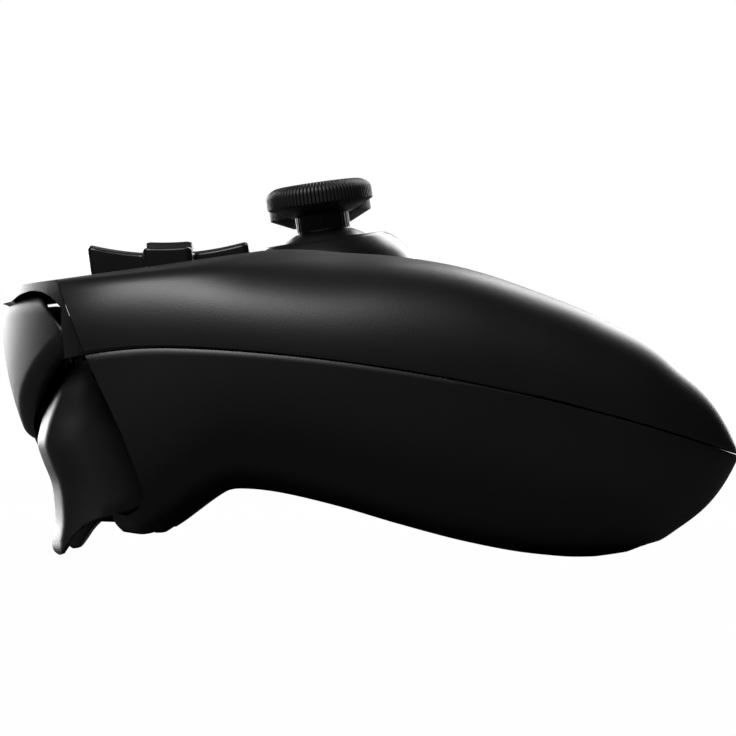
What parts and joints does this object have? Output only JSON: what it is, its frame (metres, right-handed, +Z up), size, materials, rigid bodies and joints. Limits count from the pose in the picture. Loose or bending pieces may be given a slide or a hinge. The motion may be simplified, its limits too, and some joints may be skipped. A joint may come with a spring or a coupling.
{
  "type": "gamepad controller",
  "caption": "Two-handed wireless gamepad with rounded grips, tilting thumbsticks, direction pad, press buttons, shoulder bumpers and sprung triggers.",
  "frame": {"origin": "middle of the bounding box at the level of the surface the pad rests on", "axes": "+X to the player's right, +Y to the trigger side, +Z up; the pad rests on both grips and both trigger tips"},
  "size_m": [0.1502, 0.1099, 0.057],
  "materials": {
    "shell_plastic": "fine moulded texture",
    "bridge_plastic": "satin",
    "collar_plastic": "satin",
    "button_plastic": "satin",
    "stick_plastic": "satin",
    "cap_rubber": "matte rubber",
    "membrane_rubber": "matte silicone",
    "inner_plastic": "plain moulded",
    "circuit_board": "solder mask",
    "chip_epoxy": "matte",
    "cell_foil": "foil pouch",
    "steel": "plated",
    "light_plastic": "clear"
  },
  "bodies": {
    "housing": {"top_shell": "shell_plastic", "bottom_shell": "shell_plastic", "front_bridge": "bridge_plastic", "left_stick_collar": "collar_plastic", "right_stick_collar": "collar_plastic", "main_board": "circuit_board", "board_chips": "chip_epoxy", "battery_cell": "cell_foil", "usb_socket": "steel", "left_stick_base": "steel", "right_stick_base": "steel", "stick_sensors": "chip_epoxy", "stick_switches": "steel", "dpad_post": "inner_plastic", "dpad_membrane": "membrane_rubber", "button_membrane": "membrane_rubber", "middle_membrane": "membrane_rubber", "status_light": "light_plastic", "left_bumper_pin": "steel", "right_bumper_pin": "steel", "bumper_switches": "steel", "left_trigger_pin": "steel", "right_trigger_pin": "steel", "left_trigger_spring": "steel", "right_trigger_spring": "steel", "left_trigger_bracket": "inner_plastic", "right_trigger_bracket": "inner_plastic", "trigger_sensors": "circuit_board", "housing_screws": "steel", "board_screws": "steel"},
    "left_stick_carrier": {"left_stick_carrier": "inner_plastic"},
    "left_stick_rocker": {"left_stick_rocker": "inner_plastic"},
    "left_stick": {"left_stick_post": "inner_plastic", "left_stick_stem": "stick_plastic", "left_stick_cap": "cap_rubber"},
    "left_bumper": {"left_bumper": "shell_plastic"},
    "left_trigger": {"left_trigger": "shell_plastic", "left_trigger_magnet": "steel"},
    "left_menu_button": {"left_menu_button": "button_plastic"},
    "right_stick_carrier": {"right_stick_carrier": "inner_plastic"},
    "right_stick_rocker": {"right_stick_rocker": "inner_plastic"},
    "right_stick": {"right_stick_post": "inner_plastic", "right_stick_stem": "stick_plastic", "right_stick_cap": "cap_rubber"},
    "right_bumper": {"right_bumper": "shell_plastic"},
    "right_trigger": {"right_trigger": "shell_plastic", "right_trigger_magnet": "steel"},
    "right_menu_button": {"right_menu_button": "button_plastic"},
    "dpad_ball": {"dpad_ball": "inner_plastic"},
    "dpad": {"dpad_cap": "button_plastic"},
    "home_button": {"home_button": "button_plastic"},
    "north_button": {"north_button": "button_plastic"},
    "east_button": {"east_button": "button_plastic"},
    "south_button": {"south_button": "button_plastic"},
    "west_button": {"west_button": "button_plastic"}
  },
  "joints": [
    {"name": "left_stick_click", "type": "slide", "parent": "housing", "child": "left_stick_carrier", "axis": [0, -0.1392, -0.9903], "range_m": [0, 0.0005], "stiffness_N_per_m": 3000, "springref_m": -0.0005},
    {"name": "left_stick_fore", "type": "hinge", "parent": "left_stick_carrier", "child": "left_stick_rocker", "pos_m": [-0.0284, 0.00476, 0.03938], "axis": [1, 0, 0], "range_deg": [-16, 16], "stiffness_Nm_per_rad": 0.06},
    {"name": "left_stick_side", "type": "hinge", "parent": "left_stick_rocker", "child": "left_stick", "pos_m": [-0.0284, 0.00476, 0.03938], "axis": [0, 0.9903, -0.1392], "range_deg": [-16, 16], "stiffness_Nm_per_rad": 0.06},
    {"name": "left_bumper_press", "type": "hinge", "parent": "housing", "child": "left_bumper", "pos_m": [-0.0254, 0.0476, 0.028], "axis": [0, 0, 1], "range_deg": [0, 1.5], "stiffness_Nm_per_rad": 0.8, "springref_deg": -1.72},
    {"name": "left_trigger_pull", "type": "hinge", "parent": "housing", "child": "left_trigger", "pos_m": [-0.0437, 0.039, 0.027], "axis": [-1, 0, 0], "range_deg": [0, 14], "stiffness_Nm_per_rad": 0.15, "springref_deg": -17.19, "deforming": ["left_trigger_spring"]},
    {"name": "left_menu_press", "type": "slide", "parent": "housing", "child": "left_menu_button", "axis": [0, -0.1392, -0.9903], "range_m": [0, 0.0008], "stiffness_N_per_m": 600, "springref_m": -0.0008, "deforming": ["middle_membrane"]},
    {"name": "right_stick_click", "type": "slide", "parent": "housing", "child": "right_stick_carrier", "axis": [0, -0.1392, -0.9903], "range_m": [0, 0.0005], "stiffness_N_per_m": 3000, "springref_m": -0.0005},
    {"name": "right_stick_fore", "type": "hinge", "parent": "right_stick_carrier", "child": "right_stick_rocker", "pos_m": [0.0284, 0.00476, 0.03938], "axis": [1, 0, 0], "range_deg": [-16, 16], "stiffness_Nm_per_rad": 0.06},
    {"name": "right_stick_side", "type": "hinge", "parent": "right_stick_rocker", "child": "right_stick", "pos_m": [0.0284, 0.00476, 0.03938], "axis": [0, 0.9903, -0.1392], "range_deg": [-16, 16], "stiffness_Nm_per_rad": 0.06},
    {"name": "right_bumper_press", "type": "hinge", "parent": "housing", "child": "right_bumper", "pos_m": [0.0254, 0.0476, 0.028], "axis": [0, 0, -1], "range_deg": [0, 1.5], "stiffness_Nm_per_rad": 0.8, "springref_deg": -1.72},
    {"name": "right_trigger_pull", "type": "hinge", "parent": "housing", "child": "right_trigger", "pos_m": [0.0437, 0.039, 0.027], "axis": [-1, 0, 0], "range_deg": [0, 14], "stiffness_Nm_per_rad": 0.15, "springref_deg": -17.19, "deforming": ["right_trigger_spring"]},
    {"name": "right_menu_press", "type": "slide", "parent": "housing", "child": "right_menu_button", "axis": [0, -0.1392, -0.9903], "range_m": [0, 0.0008], "stiffness_N_per_m": 600, "springref_m": -0.0008, "deforming": ["middle_membrane"]},
    {"name": "dpad_fore", "type": "hinge", "parent": "housing", "child": "dpad_ball", "pos_m": [-0.04, 0.02882, 0.04175], "axis": [1, 0, 0], "range_deg": [-6, 6], "stiffness_Nm_per_rad": 0.08, "deforming": ["dpad_membrane"]},
    {"name": "dpad_side", "type": "hinge", "parent": "dpad_ball", "child": "dpad", "pos_m": [-0.04, 0.02882, 0.04175], "axis": [0, 0.9903, -0.1392], "range_deg": [-6, 6], "stiffness_Nm_per_rad": 0.08, "deforming": ["dpad_membrane"]},
    {"name": "home_press", "type": "slide", "parent": "housing", "child": "home_button", "axis": [0, -0.1392, -0.9903], "range_m": [0, 0.0008], "stiffness_N_per_m": 600, "springref_m": -0.0008, "deforming": ["middle_membrane"]},
    {"name": "north_press", "type": "slide", "parent": "housing", "child": "north_button", "axis": [0, -0.1392, -0.9903], "range_m": [0, 0.0012], "stiffness_N_per_m": 400, "springref_m": -0.0012, "deforming": ["button_membrane"]},
    {"name": "east_press", "type": "slide", "parent": "housing", "child": "east_button", "axis": [0, -0.1392, -0.9903], "range_m": [0, 0.0012], "stiffness_N_per_m": 400, "springref_m": -0.0012, "deforming": ["button_membrane"]},
    {"name": "south_press", "type": "slide", "parent": "housing", "child": "south_button", "axis": [0, -0.1392, -0.9903], "range_m": [0, 0.0012], "stiffness_N_per_m": 400, "springref_m": -0.0012, "deforming": ["button_membrane"]},
    {"name": "west_press", "type": "slide", "parent": "housing", "child": "west_button", "axis": [0, -0.1392, -0.9903], "range_m": [0, 0.0012], "stiffness_N_per_m": 400, "springref_m": -0.0012, "deforming": ["button_membrane"]}
  ]
}
